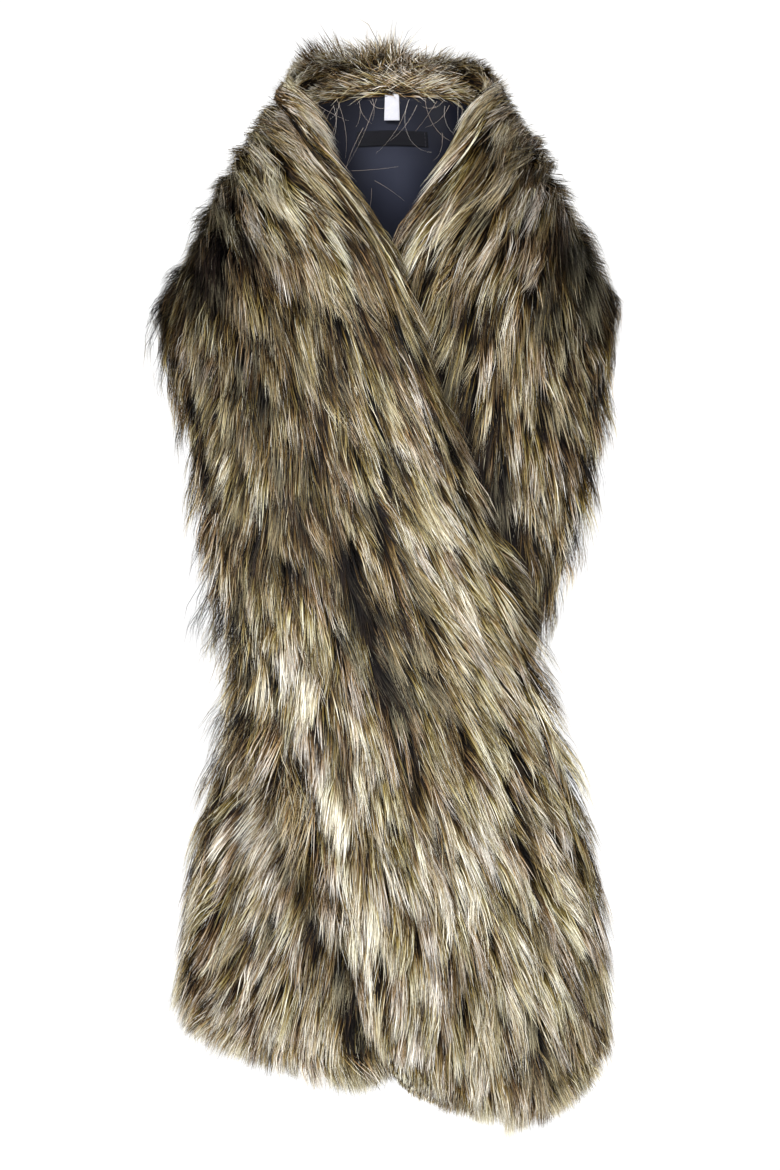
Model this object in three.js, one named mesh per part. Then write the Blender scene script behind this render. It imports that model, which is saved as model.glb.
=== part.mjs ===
// A long-pile fur wrap, worn round the neck and crossed on the chest, with a satin lining.
//
// Millimetres, +Z up, +X to the wearer's left, -Y to the wearer's front. The origin lies on the lining at
// the nape, where the neck holds the wrap. The wrap is one strip of cloth. Its middle is the centre back
// seam, and from there each half runs round its own side of the neck, over the shoulder and down the
// chest. The right half crosses on top.

import * as THREE from "three";

// Driving dimensions.
const CLOTH_WIDTH = 186;
const LINING_THICK = 1;
const LINING_INSET = 9;
const LABEL = { width: 62, height: 13, top: 6, thick: 0.7 };
const CARE_LABEL = { width: 13, height: 23, top: 37, thick: 0.8, lean: 4, curl: 1.5 };
const HEM_FUR = 34;
const HEM_TIP = 0.16;
const FUR_CORNER = 94;
const CLOTH_CORNER = 50;

// Clearances between pieces.
const SEAM_GAP = 0.3;
const LINING_GAP = 0.6;
const LABEL_GAP = 0.4;

// Locks of fur that show as relief on the pile. Each is two columns wide and rises over some steps, then
// drops. The locks side by side start at different steps.
const LOCK = { height: 7, side: 0.35, steps: 4 };
const LOCK_STARTS = [0, 2, 1, 3, 2, 0, 3, 1];

// The waves in the line of tips past a hem.
const RAGGED = [
  { height: 4, wave: 38 },
  { height: 3, wave: 18 },
];

// How finely the solids are faceted.
const LEG_STEP = 15.5;
const NECK_STEP = 12.5;
const CLOTH_COLUMNS = 6;
const PILE_COLUMNS = 15;
const LABEL_FACETS = { across: 2, along: 3 };
const CARE_LABEL_COLUMNS = 4;
const EDGE_STEPS = [35, 75, 110, 145];
const HEM_STEPS = [0.3, 0.58, 0.82, 1];

// How finely lengths and places are searched for.
const STEPS_A_ROW = 40;
const NUDGE = 0.02;
const SEARCH = { across: 0.002, along: 0.1 };

// One row for each section of the cloth, from the centre back to the hem. The halves share the rows
// behind the neck. x, y and z are the middle of the cloth, with x towards the half's own shoulder. The
// line across the cloth, from its neck edge to its outer edge, drops by drop degrees and turns back by
// turn degrees. The middle stands crown proud of that line. pile is the fur's thickness, and neckFur and
// outerFur are how far it reaches past the two edges.
const COLUMNS = ["x", "y", "z", "drop", "turn", "crown", "pile", "neckFur", "outerFur"];

const NECK = [
  [0, 5.7, -48, 78, 90, -20, 36, 39, 24],
  [48, 5, -50, 75, 60, -17, 37, 33, 24],
  [88, -12, -53, 68, 42, -11, 42, 24, 24],
];

const FRONT_END = [
  [118, -47, -60, 66, 20, -2, 44, 18, 18],
  [122, -78, -72, 61, 14, 7, 40, 12, 20],
  [116, -117, -106, 51, 12, 14, 34, 10, 24],
  [93, -160, -156, 37, 16, 20, 28, 14, 24],
  [74, -184, -220, 29, 16, 18, 26, 18, 27],
  [54, -201, -291, 23, 13, 18, 27, 21, 32],
  [32, -212, -364, 20, 7, 14, 28, 22, 41],
  [3, -217, -442, 19, 0, 10, 28, 22, 47],
  [-26, -219, -520, 18, -6, 12, 28, 22, 48],
  [-51, -216, -598, 17, -11, 14, 28, 20, 42],
  [-74, -209, -676, 15, -17, 14, 28, 17, 34],
  [-93, -199, -808, 11, -20, 14, 27, 17, 24],
];

const UNDER_END = [
  [115, -47, -60, 65, 19, -3, 40, 18, 18],
  [118, -77, -72, 60, 13, 7, 35, 11, 20],
  [113, -111, -105, 51, 8, 14, 29, 8, 24],
  [91, -144, -152, 36, 11, 22, 24, 8, 28],
  [78, -159, -211, 28, 12, 22, 20, 10, 30],
  [59, -173, -275, 24, 8, 20, 18, 12, 30],
  [37, -180, -343, 21, 4, 16, 17, 14, 28],
  [9, -183, -415, 20, -1, 14, 17, 24, 22],
  [-20, -184, -490, 19, -5, 14, 20, 31, 16],
  [-46, -181, -567, 19, -10, 14, 23, 27, 15],
  [-68, -177, -645, 17, -15, 14, 24, 24, 15],
  [-84, -171, -760, 16, -19, 14, 24, 25, 16],
];

// The row where each half's seam lies, on top of the shoulder.
const SHOULDER = 4;

// The places across the cloth, from -1 to 1, where the lining is faceted. The fur's inner face has the
// same ones.
const LINING_EDGE = 1 - (2 * LINING_INSET) / CLOTH_WIDTH;
const columnV = (i) => LINING_EDGE * ((2 * i) / CLOTH_COLUMNS - 1);
const LINING_V = Array.from({ length: CLOTH_COLUMNS + 1 }, (_, i) => columnV(i));

const named = (rows) => rows.map((row) => Object.fromEntries(COLUMNS.map((name, i) => [name, row[i]])));

// A half of the strip: side is 1 for the wearer's left and -1 for the right. The row ahead of the centre
// back is the mirror image of the one behind it, so that the two halves meet smoothly.
function makeHalf(side, endRows) {
  const rows = named([...NECK, ...endRows]);
  const mirrored = { ...rows[1], x: -rows[1].x, turn: 180 - rows[1].turn };
  const half = { side, rows, before: mirrored, hem: rows.length - 1, lengths: [0] };
  let last = sectionRow(half, 0);
  for (let i = 1; i <= half.hem * STEPS_A_ROW; i++) {
    const next = sectionRow(half, i / STEPS_A_ROW);
    half.lengths.push(half.lengths[i - 1] + Math.hypot(next.x - last.x, next.y - last.y, next.z - last.z));
    last = next;
  }
  half.length = half.lengths[half.lengths.length - 1];
  return half;
}

// Catmull-Rom interpolation of one number between b and c.
function smooth(a, b, c, d, f) {
  return b + 0.5 * f * (c - a + f * (2 * a - 5 * b + 4 * c - d + f * (3 * (b - c) + d - a)));
}

// The table's columns at a place between its rows.
function sectionRow(half, place) {
  const { rows, hem, before } = half;
  const i = Math.min(Math.floor(place), hem - 1);
  const ahead = rows[i + 2] ?? rows[hem];
  const behind = i > 0 ? rows[i - 1] : before;
  const between = (name) => smooth(behind[name], rows[i][name], rows[i + 1][name], ahead[name], place - i);
  return Object.fromEntries(COLUMNS.map((name) => [name, between(name)]));
}

// The place in the table at a length along the middle of the cloth, and back.
function placeAt(half, length) {
  const { lengths } = half;
  let i = 1;
  while (i < lengths.length - 1 && lengths[i] < length) i++;
  return (i - 1 + (length - lengths[i - 1]) / (lengths[i] - lengths[i - 1])) / STEPS_A_ROW;
}

function lengthAt(half, place) {
  const at = place * STEPS_A_ROW;
  const i = Math.min(Math.floor(at), half.lengths.length - 2);
  return half.lengths[i] + (at - i) * (half.lengths[i + 1] - half.lengths[i]);
}

// The cloth's section at a length along it: its middle, and the directions along, across and out of the
// cloth. Past the hem the section moves straight on. The chord is shorter than half the width by what the
// crown's arc takes up.
function sectionAt(half, length) {
  const onCloth = Math.min(Math.max(length, 0), half.length);
  const place = Math.min(placeAt(half, onCloth), half.hem);
  const row = sectionRow(half, place);
  const ahead = sectionRow(half, Math.min(place + NUDGE, half.hem));
  const behind = sectionRow(half, Math.abs(place - NUDGE));
  if (place < NUDGE) behind.x = -behind.x;
  const { side } = half;
  const along = new THREE.Vector3(side * (ahead.x - behind.x), ahead.y - behind.y, ahead.z - behind.z);
  along.normalize();
  const drop = THREE.MathUtils.degToRad(row.drop);
  const turn = THREE.MathUtils.degToRad(row.turn);
  const across = new THREE.Vector3(
    side * Math.cos(drop) * Math.cos(turn),
    Math.cos(drop) * Math.sin(turn),
    -Math.sin(drop),
  );
  const out = new THREE.Vector3().crossVectors(along, across).multiplyScalar(side).normalize();
  const middle = new THREE.Vector3(side * row.x, row.y, row.z).addScaledVector(along, length - onCloth);
  const halfWidth = CLOTH_WIDTH / 2;
  const chord = halfWidth * (1 - (2 / 3) * (row.crown / halfWidth) ** 2);
  return { ...row, middle, along, across, out, chord };
}

// A point of a section. v runs from -1 at the neck edge to 1 at the outer edge, reach is how far the
// point lies past that edge, lift is its height over the cloth, and narrow scales the section's width.
function pointOn(section, v, reach, lift, narrow = 1) {
  const { middle, across, out, chord, crown } = section;
  const w = v * narrow;
  const slope = (2 * crown * w) / chord;
  const level = Math.hypot(1, slope);
  const aside = w * chord + (lift * slope + reach * narrow) / level;
  const away = -crown * w * w + (lift - reach * narrow * slope) / level;
  return middle.clone().addScaledVector(across, aside).addScaledVector(out, away);
}

// The relief of the locks over the pile, by column across it and step along it.
function lockRelief(column, step) {
  const start = LOCK_STARTS[Math.floor(column / 2) % LOCK_STARTS.length];
  const rise = ((step + start) % LOCK.steps) / (LOCK.steps - 1);
  const share = column % 2 ? 1 : LOCK.side;
  return LOCK.height * (share * rise - 0.5);
}

// How far a hem's corner is drawn in, as a share of the section's full width.
function cornerShare(fromEnd, radius, halfWidth) {
  if (fromEnd >= radius) return 1;
  const drawn = radius - Math.sqrt(Math.max(radius * radius - (radius - fromEnd) ** 2, 0));
  return 1 - drawn / halfWidth;
}

// The closed outline of the fur at one section, as points in order: the flat of the cloth, round the
// outer edge, back over the pile, and round the neck edge. thin is 1 on the cloth and falls towards the
// tips past the hem.
function furRing(half, length, step) {
  const section = sectionAt(half, length);
  const { pile, neckFur, outerFur, along } = section;
  const past = Math.max(length - half.length, 0) / HEM_FUR;
  const thin = Math.max(Math.sqrt(Math.max(1 - past * past, 0)), HEM_TIP);
  const fullWidth = CLOTH_WIDTH / 2 + (neckFur + outerFur) / 2;
  const narrow = cornerShare(half.length + HEM_FUR - length, FUR_CORNER, fullWidth);
  const squeeze = (lift) => pile / 2 + (lift - pile / 2) * thin;
  const ragged = (aside) =>
    past * RAGGED.reduce((sum, { height, wave }) => sum + height * Math.sin((2 * Math.PI * aside) / wave), 0);
  const ring = [];
  const add = (v, reach, lift) => {
    const aside = (v * CLOTH_WIDTH) / 2 + reach;
    ring.push(pointOn(section, v, reach, squeeze(lift), narrow).addScaledVector(along, ragged(aside)));
  };
  for (const v of [-1, ...LINING_V, 1]) add(v, 0, 0);
  const edge = (v, fur, angle) => {
    const turned = THREE.MathUtils.degToRad(angle);
    add(v, v * fur * Math.sin(turned), (pile / 2) * (1 - Math.cos(turned)));
  };
  for (const angle of EDGE_STEPS) edge(1, outerFur, angle);
  for (let i = PILE_COLUMNS; i >= 0; i--) {
    const v = (2 * i) / PILE_COLUMNS - 1;
    add(v, 0, pile + lockRelief(i, step) * (1 - past));
  }
  for (const angle of [...EDGE_STEPS].reverse()) edge(-1, neckFur, angle);
  return ring;
}

// The closed outline of a thin layer on the cloth's inner face, from under to under + thick below the
// cloth. It has the same order as the fur's inner face, so that the two are faceted alike.
function layerRing(section, from, to, columns, under, thick, narrow = 1) {
  const ring = [];
  const at = (i) => from + ((to - from) * i) / columns;
  for (let i = 0; i <= columns; i++) ring.push(pointOn(section, at(i), 0, -under, narrow));
  for (let i = columns; i >= 0; i--) ring.push(pointOn(section, at(i), 0, -(under + thick), narrow));
  return ring;
}

// A closed solid through rings that all have the same number of points, with its faces turned outwards.
// The first reversed spans run towards the centre back, and their four-sided faces are split along the
// other diagonal.
function solidThrough(rings, reversed = 0) {
  const size = rings[0].length;
  const points = rings.flat();
  const faces = [];
  for (let r = 0; r + 1 < rings.length; r++) {
    for (let i = 0; i < size; i++) {
      const a = r * size + i;
      const b = r * size + ((i + 1) % size);
      if (r < reversed) faces.push([a, b, b + size], [a, b + size, a + size]);
      else faces.push([a, b, a + size], [b, b + size, a + size]);
    }
  }
  const last = (rings.length - 1) * size;
  for (const [a, b, c] of capFaces(rings[0])) faces.push([c, b, a]);
  for (const [a, b, c] of capFaces(rings[rings.length - 1])) faces.push([last + a, last + b, last + c]);
  const inside = faces.reduce((sum, [a, b, c]) => sum + points[a].dot(points[b].clone().cross(points[c])), 0);
  if (inside < 0) faces.forEach((face) => face.reverse());
  const geometry = new THREE.BufferGeometry().setFromPoints(points);
  geometry.setIndex(faces.flat());
  geometry.computeVertexNormals();
  return geometry;
}

// The triangles that close a ring, found in the plane that it nearly lies in. They turn the way the ring
// does.
function capFaces(ring) {
  const normal = new THREE.Vector3();
  ring.forEach((point, i) => normal.add(point.clone().cross(ring[(i + 1) % ring.length])));
  normal.normalize();
  const right = ring[1].clone().sub(ring[0]).normalize();
  right.addScaledVector(normal, -right.dot(normal)).normalize();
  const up = new THREE.Vector3().crossVectors(normal, right);
  const flat = ring.map((point) => new THREE.Vector2(point.dot(right), point.dot(up)));
  return THREE.ShapeUtils.triangulateShape(flat, []);
}

// Lengths from one end of a stretch to the other, evenly spaced, with half the seam's gap left at each
// end.
function stepsBetween(from, to, step) {
  const count = Math.ceil((to - from) / step);
  const first = from + SEAM_GAP / 2;
  const reach = to - from - SEAM_GAP;
  return Array.from({ length: count + 1 }, (_, i) => first + (reach * i) / count);
}

function furNeck(half) {
  const shoulder = lengthAt(half, SHOULDER);
  const lengths = stepsBetween(0, shoulder, NECK_STEP);
  return solidThrough(lengths.map((length, step) => furRing(half, length, step)));
}

function furEnd(half) {
  const shoulder = lengthAt(half, SHOULDER);
  const lengths = stepsBetween(shoulder, half.length, LEG_STEP);
  const pastHem = HEM_STEPS.map((share) => half.length + share * HEM_FUR);
  return solidThrough([...lengths, ...pastHem].map((length, step) => furRing(half, length, step)));
}

function liningRing(half, length) {
  const fromEnd = half.length - LINING_INSET - length;
  const narrow = cornerShare(fromEnd, CLOTH_CORNER, CLOTH_WIDTH / 2);
  const section = sectionAt(half, length);
  return layerRing(section, -LINING_EDGE, LINING_EDGE, CLOTH_COLUMNS, LINING_GAP, LINING_THICK, narrow);
}

function liningEnd(half) {
  const shoulder = lengthAt(half, SHOULDER);
  const lengths = stepsBetween(shoulder, half.length - LINING_INSET, LEG_STEP);
  return solidThrough(lengths.map((length) => liningRing(half, length)));
}

// A layer on the inner face of the collar that crosses the centre back. The right half's rings come
// first, from its far end back to the seam, and those of the left half follow.
function acrossBack(right, left, lengthsOf, ringOf) {
  const start = lengthsOf(right).reverse().map((length) => ringOf(right, length));
  const rest = lengthsOf(left).slice(1).map((length) => ringOf(left, length));
  return solidThrough([...start, ...rest], start.length - 1);
}

function liningNeck(right, left) {
  const lengthsOf = (half) => [0, ...stepsBetween(0, lengthAt(half, SHOULDER), NECK_STEP).slice(1)];
  return acrossBack(right, left, lengthsOf, liningRing);
}

// Where a height lies across the cloth at the centre back.
function acrossAtHeight(half, height) {
  const section = sectionAt(half, 0);
  let v = -1;
  while (pointOn(section, v, 0, 0).z > height && v < 1) v += SEARCH.across;
  return v;
}

// The length along the middle of the cloth that brings a place across it to a distance from the centre
// back.
function lengthToSide(half, v, distance) {
  let length = 0;
  while (Math.abs(pointOn(sectionAt(half, length), v, 0, 0).x) < distance) length += SEARCH.along;
  return length;
}

function neckLabel(right, left) {
  const from = acrossAtHeight(left, LABEL.top);
  const to = acrossAtHeight(left, LABEL.top - LABEL.height);
  const end = lengthToSide(left, from, LABEL.width / 2);
  const { across, along } = LABEL_FACETS;
  const lengthsOf = () => Array.from({ length: along + 1 }, (_, i) => (end * i) / along);
  const under = LINING_GAP + LINING_THICK + LABEL_GAP;
  const ringOf = (half, length) => layerRing(sectionAt(half, length), from, to, across, under, LABEL.thick);
  return acrossBack(right, left, lengthsOf, ringOf);
}

// The care label hangs from the top seam and leans away from the lining towards its free end.
function careLabel(right, left) {
  const from = acrossAtHeight(left, CARE_LABEL.top);
  const to = acrossAtHeight(left, CARE_LABEL.top - CARE_LABEL.height);
  const under = LINING_GAP + LINING_THICK + LABEL_GAP;
  const columns = CARE_LABEL_COLUMNS;
  const lift = (i) => -(under + CARE_LABEL.lean * (i / columns) ** CARE_LABEL.curl);
  const at = (i) => from + ((to - from) * i) / columns;
  const ringOf = (half, length) => {
    const section = sectionAt(half, length);
    const ring = [];
    for (let i = 0; i <= columns; i++) ring.push(pointOn(section, at(i), 0, lift(i)));
    for (let i = columns; i >= 0; i--) ring.push(pointOn(section, at(i), 0, lift(i) - CARE_LABEL.thick));
    return ring;
  };
  const end = lengthToSide(left, to, CARE_LABEL.width / 2);
  return acrossBack(right, left, () => [0, end], ringOf);
}

const fur = new THREE.MeshStandardMaterial({ color: 0x8d7c58, roughness: 0.8, metalness: 0 });
const satin = new THREE.MeshStandardMaterial({ color: 0x262a38, roughness: 0.45, metalness: 0 });
const woven = new THREE.MeshStandardMaterial({ color: 0x14151c, roughness: 0.6, metalness: 0 });
const white = new THREE.MeshStandardMaterial({ color: 0xe9e7ea, roughness: 0.6, metalness: 0 });

const leftHalf = makeHalf(1, UNDER_END);
const rightHalf = makeHalf(-1, FRONT_END);
const wrap = new THREE.Group();

function addPiece(name, geometry, material) {
  const mesh = new THREE.Mesh(geometry, material);
  mesh.name = name;
  wrap.add(mesh);
}

addPiece("fur_neck_right", furNeck(rightHalf), fur);
addPiece("fur_neck_left", furNeck(leftHalf), fur);
addPiece("fur_front_end", furEnd(rightHalf), fur);
addPiece("fur_under_end", furEnd(leftHalf), fur);
addPiece("lining_neck", liningNeck(rightHalf, leftHalf), satin);
addPiece("lining_front_end", liningEnd(rightHalf), satin);
addPiece("lining_under_end", liningEnd(leftHalf), satin);
addPiece("neck_label", neckLabel(rightHalf, leftHalf), woven);
addPiece("care_label", careLabel(rightHalf, leftHalf), white);

export default wrap;
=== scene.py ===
# A long-pile fur wrap with a satin lining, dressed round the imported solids.
#
# The cloth is worked out in millimetres from the same table of sections as the solids, and every mesh is
# turned into metres when it is made. Fur is grown as joined meshes of tapered strands, in locks.

import math

import bpy
import numpy as np
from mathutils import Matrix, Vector


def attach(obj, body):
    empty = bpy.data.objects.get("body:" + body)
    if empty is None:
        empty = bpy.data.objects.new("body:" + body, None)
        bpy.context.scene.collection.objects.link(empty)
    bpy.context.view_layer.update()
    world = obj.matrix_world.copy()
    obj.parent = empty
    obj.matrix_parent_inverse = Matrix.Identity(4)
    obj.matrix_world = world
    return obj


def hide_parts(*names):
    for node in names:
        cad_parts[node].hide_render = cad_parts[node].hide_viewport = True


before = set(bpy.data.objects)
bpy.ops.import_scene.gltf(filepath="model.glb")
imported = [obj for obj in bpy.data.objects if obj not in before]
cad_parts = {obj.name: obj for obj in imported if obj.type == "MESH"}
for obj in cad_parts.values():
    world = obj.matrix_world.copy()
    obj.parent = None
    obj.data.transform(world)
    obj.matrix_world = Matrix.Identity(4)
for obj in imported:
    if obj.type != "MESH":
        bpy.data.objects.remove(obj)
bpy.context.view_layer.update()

MM = 0.001

# The strip of cloth. SEAM is half the gap between two stretches, and SHOULDER is the row of sections,
# counted from nought, at which the neck stretch ends.
CLOTH_WIDTH = 186.0
HALF_WIDTH = CLOTH_WIDTH / 2
BACKING_THICK = 1.6
LINING_GAP = 0.6
LINING_THICK = 1.0
LINING_INSET = 9.0
LABEL_GAP = 0.4
HEM_FUR = 34.0
CLOTH_CORNER = 50.0
CLOTH_STEP = 8.0
SEAM = 0.02
SHOULDER = 4

# One row for each section of the cloth, from the centre back to the hem. x, y and z are the middle of the
# cloth, with x towards the half's own shoulder. The line across the cloth drops by drop degrees and turns
# back by turn degrees, and the middle stands crown proud of it. pile is the fur's thickness, and neck_fur
# and outer_fur are how far it reaches past the two edges. The fans are the angles at which the hair lies,
# from straight along the cloth towards its outer edge, at the neck edge, in the middle and at the outer
# edge.
COLUMNS = "x y z drop turn crown pile neck_fur outer_fur fan_neck fan_middle fan_outer".split()

NECK = [
    (0, 5.7, -48, 78, 90, -20, 36, 39, 24, -88, 40, 70),
    (48, 5, -50, 75, 60, -17, 37, 33, 24, -36, 28, 58),
    (88, -12, -53, 68, 42, -11, 42, 24, 24, -14, 20, 54),
]

FRONT_END = [
    (118, -47, -60, 66, 20, -2, 44, 18, 18, -16, 16, 50),
    (122, -78, -72, 61, 14, 7, 40, 12, 20, -10, 13, 46),
    (116, -117, -106, 51, 12, 14, 34, 10, 24, -8, 10, 42),
    (93, -160, -156, 37, 16, 20, 28, 14, 24, -8, 8, 40),
    (74, -184, -220, 29, 16, 18, 26, 18, 27, -8, 5, 38),
    (54, -201, -291, 23, 13, 18, 27, 21, 32, -8, 3, 36),
    (32, -212, -364, 20, 7, 14, 28, 22, 41, -8, 1, 34),
    (3, -217, -442, 19, 0, 10, 28, 22, 47, -8, 0, 32),
    (-26, -219, -520, 18, -6, 12, 28, 22, 48, -8, 0, 28),
    (-51, -216, -598, 17, -11, 14, 28, 20, 42, -9, -1, 24),
    (-74, -209, -676, 15, -17, 14, 28, 17, 34, -10, -2, 16),
    (-93, -199, -808, 11, -20, 14, 27, 17, 24, -10, 0, 10),
]

UNDER_END = [
    (115, -47, -60, 65, 19, -3, 40, 18, 18, -16, 16, 50),
    (118, -77, -72, 60, 13, 7, 35, 11, 20, -11, 13, 46),
    (113, -111, -105, 51, 8, 14, 29, 8, 24, -9, 11, 42),
    (91, -144, -152, 36, 11, 22, 24, 8, 28, -8, 9, 38),
    (78, -159, -211, 28, 12, 22, 20, 10, 30, -8, 8, 38),
    (59, -173, -275, 24, 8, 20, 18, 12, 30, -8, 8, 38),
    (37, -180, -343, 21, 4, 16, 17, 14, 28, -9, 8, 34),
    (9, -183, -415, 20, -1, 14, 17, 24, 22, -14, 4, 26),
    (-20, -184, -490, 19, -5, 14, 20, 31, 16, -20, 1, 18),
    (-46, -181, -567, 19, -10, 14, 23, 27, 15, -24, -2, 16),
    (-68, -177, -645, 17, -15, 14, 24, 24, 15, -26, -4, 14),
    (-84, -171, -760, 16, -19, 14, 24, 25, 16, -24, -3, 18),
]

# Patches of darker and paler fur, seen from the front. Some of the under end's dark ones are painted shadow,
# cast by the front end where it lies over the under end. The columns are the x and z of the middle, half the
# width and half the height in millimetres, the lean in degrees from upright towards +X at the bottom, and
# how much paler the patch is.

FRONT_PATCHES = [
    (-150, -98, 20, 48, -18, -0.8),
    (-176, -130, 12, 40, -18, -0.3),
    (-66, -247, 32, 22, 0, -0.22),
    (-112, -225, 14, 30, -8, -0.2),
    (-74, -312, 17, 32, 5, -0.46),
    (-46, -344, 18, 32, 24, -0.44),
    (-28, -392, 18, 34, 22, -0.5),
    (-8, -436, 18, 36, 22, -0.56),
    (8, -480, 16, 38, 16, -0.54),
    (18, -532, 11, 36, 10, -0.36),
    (-92, -462, 24, 66, 10, 0.22),
    (55, -690, 34, 40, 16, -0.12),
    (128, -795, 28, 30, 12, -0.32),
    (100, -770, 22, 40, 12, -0.2),
    (18, -262, 15, 34, 30, 0.4),
    (58, -355, 18, 52, 32, 0.34),
    (98, -470, 30, 60, 28, 0.16),
    (-62, -560, 15, 100, 17, 0.34),
    (-30, -660, 16, 80, 18, 0.3),
    (-150, -330, 18, 90, 4, 0.1),
    (60, -600, 24, 60, 20, 0.14),
]

UNDER_PATCHES_AND_SHADOWS = [
    (160, -112, 24, 46, 25, -0.8),
    (138, -170, 14, 30, 15, -0.25),
    # Painted shadow: these five rows darken the under end along the front end's edge, where that end lies
    # over it.
    (94, -360, 26, 85, 16, -0.6),
    (64, -255, 16, 66, 25, -0.48),
    (-84, -600, 12, 50, 14, -0.4),
    (-58, -668, 16, 46, 20, -0.5),
    (-28, -742, 22, 48, 8, -0.6),
    (-142, -600, 34, 110, -20, 0.16),
    (130, -230, 30, 50, 0, 0.06),
]

# The fur: strands in tufts, and tufts in locks. The wide strands are a lock's soft body and the fine ones
# draw its lines. Some of the wide ones stay low, as underfur that is dark partly in its own colour and partly
# as painted shade deep in the pile. Of two shares, the first is for the neck stretch, or for its collar.
# LOCK_BORDERS is how uneven the locks' borders are, across and along.
NECK_STRANDS = 38000
FRONT_STRANDS = 84000
UNDER_STRANDS = 64000
MOST_STRANDS = 45000
STRANDS_A_TUFT = 6
TUFT_SPREAD = 1.6
TUFT_PULL = 0.5
LOCK_ACROSS = 8.5
LOCK_ALONG = 30.0
LOCK_BORDERS = (1.8, 4.0)
LOCK_PULL = 0.5
LOCK_TIP_PULL = 0.45
AROUND = 25.0
MOST_AROUND = 0.93 * math.pi
EDGE_SHARES = (0.42, 0.3)
NECK_SIDE_SHARES = (0.62, 0.4)
WRAP_SHARES = (0.2, 0.16)
WRAP_DEEP = (1.0, 7.0)
HEM_SHARE = 0.08
HEM_ZONE = 45.0
OVER_HEM = 8.0
STRAND_LENGTH = 72.0
LOW_LENGTH = 0.7
WRAP_LENGTH = 0.6
OUTER_SHORTER = 0.3
LEAST_ALONG = 0.4
SHORTEST_SHARE = 0.13
BODY_WIDTH = 0.95
EDGE_WIDTH = 0.7
FINE_WIDTH = 0.38
WIDTH_SHARES = (0.75, 1.25)
ROLL = 0.35
FINE_SHARE = 0.62
LOW_SHARE = 0.3

# How far strands turn at random, in degrees: as they lie, at the collar's top, along the edges and as they
# swing. The pairs are by lock and by strand. HEM_TURN is how far all turn towards the hem's corners.
LIE_TURNS = {"lock": 6, "tuft": 2, "strand": 2, "seam": 60}
HEM_TURN = 20
COLLAR_TURNS = (28, 14)
EDGE_TURNS = (11, 4)
SWING_TURNS = (6, 3)

# Ranges of random shares, first by lock and then by strand: of the length, of the reach past the edges, of
# how far the edges open and of the pile's height.
LENGTH_SHARES = ((0.85, 1.2), (0.74, 1.08))
REACH_SHARES = ((0.85, 1.2), (0.88, 1.12))
OPEN_SHARES = ((0.6, 1.5), (0.84, 1.16))
HEIGHT_SHARES = {"lock": (0.68, 1.05), "low": (0.15, 0.5), "body": (0.55, 0.97), "fine": (0.76, 1.05)}

# How far from the centre back, in millimetres, hair crosses the seam, is unruly, has the dome of the
# collar's top and its peak, stands up along the edge and falls over the lining. Over the dome the fur's
# reach is FLAT less, and at the peak it is PEAK more. FALL_SHARE is the share that falls over the lining.
ZONES = {"crossing": 15, "unruly": 130, "dome": 150, "peak": 52, "upright": 50, "falling": 60}
PEAK, FLAT = 0.4, 0.42
FALL_SHARE = 0.16
# How far from the hem strands turn towards its corners and rise from under the cloth.
HEM_TURN_ZONE = 90
HEM_LIFT_ZONE = 14
# Where the collar turns to the side, the pile along its neck edge is lower by a share.
SIDE_TURN = {"length": 112, "reach": 62, "lower": 0.5}

# Edge strands: how closely they follow the fan at the outer and the neck edge, how far across they may
# reach, how deep in the fur they start, how much they flare and how much closer those behind the cloth lie.
EDGE_FOLLOW = (0.85, 0.5)
EDGE_LIMITS = (-0.8 * AROUND, 1.3 * AROUND)
EDGE_DEEP = (0.1, 0.7)
EDGE_FLARE = 0.22
EDGE_BEHIND = 0.4

# The radii of the rounded corners that the fur has at each hem, at the neck edge and at the outer edge.
FRONT_CORNERS = (112.0, 172.0)
UNDER_CORNERS = (60.0, 80.0)

# How much further than its table says the fur opens past each edge, by length along the half: the neck edge
# first, then the outer one.
FRONT_OPEN = (
    ((225, 0), (285, 0.4), (350, 0), (490, 0), (545, 0.3), (620, 0.1), (700, -0.1)),
    ((240, 0), (600, 0), (690, -0.3), (760, -0.25), (815, -0.6), (980, -0.6)),
)
UNDER_OPEN = (
    ((225, 0), (260, 0.65), (285, 0.8), (310, 0.65), (350, 0), (450, 0), (540, 0.2), (600, 0), (690, -0.33)),
    ((20, 0), (80, -0.3), (190, -0.3), (240, 0.1), (380, 0), (440, -0.25), (560, -0.25), (620, 0)),
)

# A strand has six points at four shares of its way: its root, two pairs across its width, and its tip.
STRAND_SHARES = (0.0, 0.3, 0.66, 1.0)
STRAND_WIDTHS = (1.0, 0.8)
STRAND_FACES = np.array([(0, 2, 1), (1, 2, 4), (1, 4, 3), (3, 4, 5)])
STRAND_ALONG = np.array([STRAND_SHARES[i] for i in (0, 1, 1, 2, 2, 3)])
STRAND_ACROSS = np.array([0.5, 0.12, 0.88, 0.12, 0.88, 0.5])
STRAND_POINTS = len(STRAND_ALONG)

# How pale the fur is by height in millimetres, before its patches.
HEIGHT_TONES = ((-900, 0.66), (-700, 0.62), (-520, 0.5), (-330, 0.4), (-160, 0.375), (0, 0.51), (100, 0.61))

# How much tone, tip and hue differ at random, the shares of fine strands that are dark or have a dark tip,
# and how much darker the dark ones and the low ones are. The dark fine strands are dark hairs that partly
# stand in as painted shade between the pale ones, and the low ones' darkening is partly the underfur's colour
# and partly painted shade deep in the pile. PATCH_OFF is how far off the patches are looked up, by lock and
# by tuft.
TONE = {"lock": 0.17, "tuft": 0.11, "fine": 0.22, "wide": 0.08, "dark_share": 0.29, "dark": 0.5, "low": 0.42}
TIP = {"lock": 0.35, "strand": 0.2, "dark_share": 0.24}
HUE = {"lock": 0.28, "tuft": 0.12}
PATCH_OFF = {"x": 4, "z": (14, 6)}

# Steps of the three numbers that colour a strand: how pale it is, how dark or pale its tip is and how khaki
# it is.
TONES = 24
TIPS = 12
HUES = 3


def bell(distance, wide, power=2):
    """1 where there is no distance, falling smoothly away over the width."""
    return np.exp(-((distance / wide) ** power))


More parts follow.
